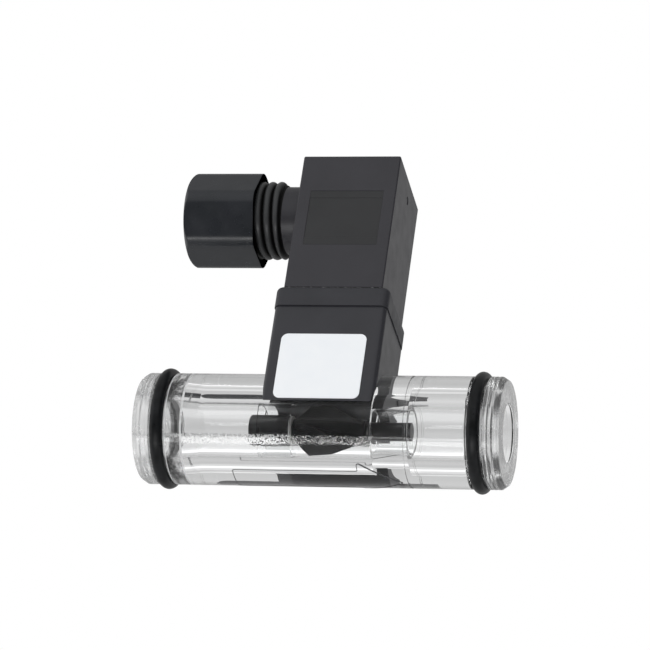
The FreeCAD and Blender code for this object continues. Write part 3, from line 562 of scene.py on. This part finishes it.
# Turned rings with painted shade: darker than the inlet's turned end, and laid on the outlet's
# front half alone.
outlet_shaded_finish = turned_plastic("turned_outlet_painted_shade", (0.4, 0.402, 0.405), (0.93, 0.935, 0.935),
                               clearness=0.86, depth=0.02)
face_finish = turned_plastic("faced_end_plastic", (0.93, 0.935, 0.94), (0.98, 0.985, 0.985),
                             clearness=0.62, depth=0.004)
collar_finish = collar_plastic("rough_collar_plastic")
edge_finish = edge_plastic("worked_edge_plastic")
thread_finish = thread_plastic_painted_shade("thread_plastic_painted_shade")
spider_finish = spider_plastic("clear_ring_plastic")
seal_finish = moulded("seal_rubber", (0.0018, 0.0023, 0.0027), (0.0085, 0.0095, 0.0108),
                      rough=(0.26, 0.42), grain=0.2, depth=0.004, patch=1.6, specular=0.22)
gasket_finish = moulded("gasket_rubber", (0.021, 0.0214, 0.0265), (0.026, 0.0265, 0.0327),
                        rough=(0.4, 0.52), grain=0.15)
block_finish = moulded("block_plastic", (0.0225, 0.0228, 0.028), (0.0266, 0.027, 0.033),
                       rough=(0.34, 0.4), grain=0.1, depth=0.003)
plug_finish = moulded("plug_plastic", (0.0236, 0.023, 0.0284), (0.0277, 0.027, 0.0332),
                      rough=(0.36, 0.42), depth=0.004)
badge_finish = moulded("badge_plastic", (0.015, 0.0155, 0.017), (0.019, 0.0195, 0.0212),
                       rough=(0.3, 0.38), grain=0.1, depth=0.003)
# Painted highlight: the flash is much lighter than the gasket's rubber, for the glints along the
# gasket's top edge.
flash_glint_finish = moulded("flash_rubber_painted_glint", (0.06, 0.06, 0.063), (0.16, 0.16, 0.165),
                       rough=(0.35, 0.55), grain=0.1, depth=0.004, patch=0.8)
nut_finish = moulded("nut_plastic", (0.0118, 0.014, 0.0175), (0.0168, 0.0188, 0.0238),
                     rough=(0.26, 0.34), depth=0.003)
# Painted shade: the nut's open end and mouth, near black and without gloss.
mouth_shade_finish = moulded("nut_mouth_painted_shade", (0.001, 0.001, 0.0012), (0.0016, 0.0016, 0.0018),
                       rough=(0.7, 0.8), depth=0.003, specular=0.0)
support_finish = moulded("support_plastic", (0.01, 0.01, 0.0114), (0.016, 0.016, 0.018),
                         rough=(0.3, 0.42), depth=0.004, patch=2.0, specular=0.4)
rotor_finish = moulded("rotor_plastic", (0.01, 0.01, 0.011), (0.018, 0.018, 0.0195),
                       rough=(0.4, 0.55), depth=0.004, patch=2.0, specular=0.12)
carrier_finish = moulded("carrier_plastic", (0.05, 0.05, 0.053), (0.07, 0.07, 0.074),
                         rough=(0.4, 0.55))
chip_finish = moulded("chip_resin", (0.014, 0.014, 0.014), (0.024, 0.024, 0.024), rough=(0.5, 0.65))
label_finish = moulded("label_film", (0.91, 0.94, 0.972), (0.935, 0.96, 0.985),
                       rough=(0.38, 0.5), grain=0.08, depth=0.002, patch=3.0)
board_finish = moulded("board_coating", (0.012, 0.11, 0.045), (0.02, 0.16, 0.07),
                       rough=(0.22, 0.34), grain=0.3, depth=0.01, patch=2.0)
bush_finish = moulded("bush_ceramic", (0.72, 0.715, 0.7), (0.84, 0.83, 0.81),
                      rough=(0.12, 0.22), grain=0.1, depth=0.002, patch=1.0)
magnet_finish = moulded("sintered_magnet", (0.1, 0.1, 0.105), (0.16, 0.16, 0.17),
                        rough=(0.4, 0.6), grain=0.1, depth=0.01, patch=1.0)
steel_finish = metal("turned_steel", (0.5, 0.5, 0.51), (0.66, 0.66, 0.67),
                     rough=(0.2, 0.36), stretch=(1.0, 1.0, 0.2))
tin_finish = metal("tinned_strip", (0.62, 0.61, 0.58), (0.76, 0.75, 0.72),
                   rough=(0.25, 0.42), stretch=(1.0, 1.0, 0.15))
brass_finish = metal("turned_brass", (0.66, 0.47, 0.18), (0.8, 0.6, 0.26),
                     rough=(0.2, 0.34), stretch=(1.0, 1.0, 3.0))
# Painted shade: the arrow's bead is moulded in the clear tube, and its dark grey stands in for the
# shade that its edges throw by bending light.
arrow_shade_finish = moulded("arrow_bead_painted_shade", (0.03, 0.031, 0.033), (0.08, 0.081, 0.084),
                       rough=(0.25, 0.4), grain=0.2, depth=0.004, patch=2.0)
arrow_shade_finish.node_tree.nodes["Principled BSDF"].inputs["Alpha"].default_value = 0.7

dressing = {
    "inlet_support": support_finish, "outlet_support": support_finish, "rotor": rotor_finish,
    "inlet_spacer_ring": spider_finish, "outlet_retaining_ring": spider_finish,
    "inlet_bearing": bush_finish, "outlet_bearing": bush_finish,
    "rotor_shaft": steel_finish, "rotor_magnets": magnet_finish,
    "sensor_housing": block_finish, "housing_label": label_finish, "circuit_board": board_finish,
    "hall_sensor": chip_finish, "terminal_base": block_finish, "contact_blades": tin_finish,
    "threaded_insert": brass_finish, "profile_gasket": gasket_finish, "plug_housing": plug_finish,
    "plug_insert": carrier_finish, "socket_contacts": tin_finish, "terminal_screws": steel_finish,
    "screw_washer": seal_finish, "retaining_screw": steel_finish, "gland_grommet": seal_finish,
    "gland_washer": carrier_finish,
}
for node, material in dressing.items():
    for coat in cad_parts[node].material_slots:
        coat.material = material


# Pieces

def fit(piece, body, slot, material, *stands_for):
    """Put a finished piece on its body, with its finish and the node that it stands for."""
    piece.data.materials.append(material)
    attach(piece, body)
    if stands_for:
        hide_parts(*stands_for)
    return piece


def face_values(piece, key):
    """A vector of each face of a piece, such as its centre or its normal, as three rows."""
    values = np.empty(3 * len(piece.data.polygons))
    piece.data.polygons.foreach_get(key, values)
    return values.reshape(-1, 3).T


def coat_faces(piece, which):
    """Give each face of a piece the finish of that number."""
    piece.data.polygons.foreach_set("material_index", which.astype(np.int32))


def tube_coats(tube):
    """The number of each face's finish on the tube: 5 on the worked edges behind the inlet seal, 4
    on the rough collar between them, 3 on the outlet's end face, 2 and 1 on the turned ends of
    outlet and inlet, and 0 elsewhere. The worked edges and the outlet's turned end are on the front
    half alone. There the outlet's turned end is a darker copy of the turned finish, with painted
    shade."""
    bore_skin, land_skin, face_skin = 0.1, 0.2, 0.05
    edge_half, spill = 0.1, 0.02
    front_from, front_to = 112, 310
    along, across, height = face_values(tube, "center") / MM
    off_axis, round_axis = np.hypot(across, height), np.degrees(np.arctan2(height, across)) % 360
    outer, land = off_axis > MOUTH_BORE + bore_skin, off_axis > TUBE_RADIUS - land_skin
    seal_wall, scribe_middle = SEAL_SETBACK + GROOVE_HALF, FIRST_SCRIBE + SCRIBE_WIDTH / 2
    front_half = (round_axis > front_from) & (round_axis < front_to)
    wall_edge = abs(along - seal_wall - edge_half) < edge_half + spill
    scribe_edge = abs(along - scribe_middle) < SCRIBE_WIDTH / 2 + spill
    worked_edge = land & front_half & (wall_edge | scribe_edge)
    collar = land & (along > seal_wall) & (along < FIRST_SCRIBE)
    end_face = outer & (along > TUBE_LENGTH - face_skin)
    # Painted shade: the outlet's turned end takes its darker finish on the front half alone.
    outlet_shaded_land = outer & (along > TUBE_LENGTH - SEAL_SETBACK) & front_half
    inlet_land = outer & (along < seal_wall)
    return np.select([worked_edge, collar, end_face, outlet_shaded_land, inlet_land], [5, 4, 3, 2, 1], 0)


# The angle up to which round pieces shade smoothly, and the least turn towards +X of the faces in
# the nut's mouth, which carry painted shade.
ROUND_CREASE, MOUTH_FACING = 60.0, 0.3
clear_tube = fit(skin("clear_tube", turned(tube_outline())), "body", "clear_plastic", tube_finish,
                 "tube_body")
for other_finish in (inlet_finish, outlet_shaded_finish, face_finish, collar_finish, edge_finish):
    clear_tube.data.materials.append(other_finish)
coat_faces(clear_tube, tube_coats(clear_tube))
fit(skin("inlet_seal_ring", seal_ring(SEAL_SETBACK)), "body", "black_rubber", seal_finish,
    "inlet_o_ring")
fit(skin("outlet_seal_ring", seal_ring(TUBE_LENGTH - SEAL_SETBACK)), "body", "black_rubber",
    seal_finish, "outlet_o_ring")
fit(skin("gland_thread", gland_thread(), crease=ROUND_CREASE), "plug", "plug_plastic",
    thread_finish)
nut = fit(skin("hexagon_nut", hexagon_nut(), crease=ROUND_CREASE), "gland_nut", "plug_plastic",
          nut_finish, "gland_nut")
nut.data.materials.append(mouth_shade_finish)
# The faces that turn towards +X get the painted shade of the nut's mouth.
coat_faces(nut, face_values(nut, "normal")[0] > MOUTH_FACING)
fit(skin("badge_panel", badge_panel(), ring=False), "plug", "plug_plastic", badge_finish)
# The flash's ragged bead is real, its light colour a painted highlight.
fit(skin("gasket_flash", gasket_flash()), "body", "gasket_rubber", flash_glint_finish)
fit(skin("flow_arrow", flow_arrow()), "body", "clear_plastic", arrow_shade_finish)


# Studio, in metres

ONE_FACE = [(0, 1, 2, 3)]


def bare_material(name):
    """A node material without a shader, with its tree and the way into its output."""
    material = bpy.data.materials.new(name)
    material.use_nodes = True
    tree = material.node_tree
    tree.nodes.remove(tree.nodes["Principled BSDF"])
    return material, tree, tree.nodes["Material Output"].inputs["Surface"]


def glowing(name):
    """A material that only glows, with its tree and the way into its colour."""
    material, tree, surface = bare_material(name)
    light = tree.nodes.new("ShaderNodeEmission")
    tree.links.new(light.outputs[0], surface)
    return material, tree, light.inputs["Color"]


def stage_piece(name, spots, faces, material):
    """A plain mesh that belongs to the studio."""
    mesh = bpy.data.meshes.new(name)
    mesh.from_pydata(spots, [], faces)
    mesh.materials.append(material)
    piece = bpy.data.objects.new(name, mesh)
    bpy.context.scene.collection.objects.link(piece)
    return piece


def one_way_floor(name):
    """Pale floor that shows from above, and is open to light and to a camera below it."""
    material, tree, surface = bare_material(name)
    path, side = tree.nodes.new("ShaderNodeLightPath"), tree.nodes.new("ShaderNodeNewGeometry")
    above = worked(tree, "SUBTRACT", path.outputs["Is Camera Ray"], side.outputs["Backfacing"])
    above.node.use_clamp = True
    open_side = tree.nodes.new("ShaderNodeBsdfTransparent")
    pale = tree.nodes.new("ShaderNodeBsdfDiffuse")
    pale.inputs["Color"].default_value = (0.86, 0.86, 0.865, 1)
    choose = tree.nodes.new("ShaderNodeMixShader")
    tree.links.new(above, choose.inputs["Fac"])
    tree.links.new(open_side.outputs[0], choose.inputs[1])
    tree.links.new(pale.outputs[0], choose.inputs[2])
    tree.links.new(choose.outputs[0], surface)
    return material


def tent(name, shades, glossy, radius=1.2, half=1.6, around=96):
    """A round studio tent about the flow axis, from -X to +X. Its glow depends on the angle round
    the axis alone: 0 is behind the part, 90 above it, 180 before it and 270 below it, and the
    shades give (angle, glow) pairs. One tent is seen in reflections and another through the clear
    pieces."""
    angle = np.linspace(0, 2 * np.pi, around + 1)
    ring = np.stack([np.zeros_like(angle), radius * np.cos(angle), radius * np.sin(angle)], axis=-1)
    spots = np.concatenate([ring - [half, 0, 0], ring + [half, 0, 0]])
    first = np.arange(around)
    faces = np.stack([first, first + 1, first + around + 2, first + around + 1], axis=-1)
    material, tree, colour = glowing(name)
    place = tree.nodes.new("ShaderNodeTexCoord").outputs["Object"]
    swing = worked(tree, "WRAP", swing_round(tree, place), 2 * math.pi, 0.0)
    bands = tree.nodes.new("ShaderNodeValToRGB")
    stops = bands.color_ramp.elements
    while len(stops) < len(shades):
        stops.new(1.0)
    for stop, (degrees, glow) in zip(stops, shades):
        stop.position, stop.color = degrees / 360.0, (glow, glow, glow, 1)
    tree.links.new(worked(tree, "DIVIDE", swing, 2 * math.pi), bands.inputs["Fac"])
    tree.links.new(bands.outputs["Color"], colour)
    wall = stage_piece(name, spots.tolist(), faces.tolist(), material)
    wall.visible_camera = wall.visible_diffuse = False
    wall.visible_shadow = wall.visible_volume_scatter = False
    wall.visible_glossy, wall.visible_transmission = glossy, not glossy


def shade_card(name, middle, half, glow):
    """An upright card beyond the outlet, seen in reflections alone."""
    material, _, colour = glowing(name)
    colour.default_value = (glow, glow, glow, 1)
    x, y, z = middle
    corners = [(x, y - half, z - half), (x, y + half, z - half),
               (x, y + half, z + half), (x, y - half, z + half)]
    card = stage_piece(name, corners, ONE_FACE, material)
    card.visible_camera = card.visible_diffuse = False
    card.visible_shadow = card.visible_transmission = False


def set_up(thing, right, up, back, spot):
    """Put a camera or a lamp at a spot, with its own three axes along the given directions."""
    turn = np.eye(4)
    turn[:3] = np.stack([right, up, back, spot], axis=-1)
    thing.matrix_world = Matrix(turn.tolist())
    bpy.context.scene.collection.objects.link(thing)


def lamp(name, spot, aim_at, watts, width, height, mirrored):
    """A soft flat lamp that faces a point, with its width level. Glossy surfaces mirror it or
    leave it out."""
    data = bpy.data.lights.new(name, "AREA")
    data.shape = "RECTANGLE"
    data.energy, data.size, data.size_y = watts, width, height
    light = bpy.data.objects.new(name, data)
    aim = aim_at - np.asarray(spot, float)
    aim /= np.linalg.norm(aim)
    side = np.cross(aim, [0, 0, 1])
    side /= np.linalg.norm(side)
    set_up(light, side, np.cross(side, aim), -aim, spot)
    light.visible_camera, light.visible_glossy = False, mirrored


FLOOR_DROP, FLOOR_HALF = 0.00005, 3
level = float(cad_box[0][2]) - FLOOR_DROP
floor_corners = [(-FLOOR_HALF, -FLOOR_HALF, level), (FLOOR_HALF, -FLOOR_HALF, level),
                 (FLOOR_HALF, FLOOR_HALF, level), (-FLOOR_HALF, FLOOR_HALF, level)]
stage_piece("floor", floor_corners, ONE_FACE, one_way_floor("pale_floor"))

# The camera at the photograph's viewing angle, in front of the label and below it.
camera_data = bpy.data.cameras.new("camera")
camera_data.sensor_width = 36.0
camera_data.lens = 215.07
camera_data.clip_start, camera_data.clip_end = 0.01, 20.0
camera = bpy.data.objects.new("camera", camera_data)
set_up(camera, right=(0.97235, 0.19568, 0.12742), up=(-0.00752, -0.51915, 0.85465),
       back=(0.23339, -0.83198, -0.50332), spot=np.array([171.07, -515.01, -292.17]) * MM)
bpy.context.scene.camera = camera

mirrored_shades = [
    (0, 0.45), (31, 0.5), (60, 0.42), (89, 0.38), (115, 0.5), (140, 0.7), (184, 0.7), (197, 0.1),
    (214, 0.06), (222, 0.15), (232, 0.6), (246, 0.6), (262, 0.45), (282, 0.7), (305, 0.7),
    (327, 0.4), (360, 0.45),
]
seen_shades = [
    (0, 1.4), (4, 1.2), (7, 0.93), (11, 0.76), (21, 0.78), (25, 0.62), (28, 0.64), (31, 0.57),
    (35, 0.6), (38, 0.64), (41, 0.77), (50, 0.8), (54, 0.54), (66, 0.55), (78, 0.6), (95, 0.7),
    (108, 0.62), (127, 0.45), (180, 0.55), (205, 0.3), (225, 0.3), (255, 0.6), (295, 0.38),
    (315, 0.54), (327, 0.6), (338, 0.54), (344, 0.6), (347, 0.74), (355, 0.73), (360, 1.4),
]
tent("mirrored_tent", mirrored_shades, glossy=True)
tent("seen_tent", seen_shades, glossy=False)
shade_card("outlet_side_card", middle=(0.9, -0.1, 0.4), half=0.75, glow=0.06)

# The world is white where it is seen, and a little darker as a light.
world = bpy.data.worlds.new("studio")
bpy.context.scene.world = world
world.use_nodes = True
tree = world.node_tree
sky = tree.nodes["Background"]
path = tree.nodes.new("ShaderNodeLightPath").outputs
shown = worked(tree, "MAXIMUM", path["Is Camera Ray"], path["Is Glossy Ray"])
shown = worked(tree, "MAXIMUM", shown, path["Is Transmission Ray"])
tree.links.new(between(tree, shown, 0.6, 1.0, start=0.0, end=1.0), sky.inputs["Strength"])
sky.inputs["Color"].default_value = (1, 1, 1, 1)

middle = np.array([29.0, 0.0, 18.0]) * MM
strip_way, strip_distance = np.array([0.0, -0.588, -0.809]), 0.8
lamp("key_lamp", (-0.35, -0.55, 0.45), middle, watts=1.5, width=0.5, height=0.5, mirrored=False)
lamp("side_lamp", (0.65, -0.1, 0.35), middle, watts=0.8, width=0.4, height=0.4, mirrored=False)
lamp("strip_lamp", middle + strip_distance * strip_way, middle, watts=2.0, width=1.0, height=0.11,
     mirrored=True)

bpy.context.scene.view_settings.view_transform = "Standard"
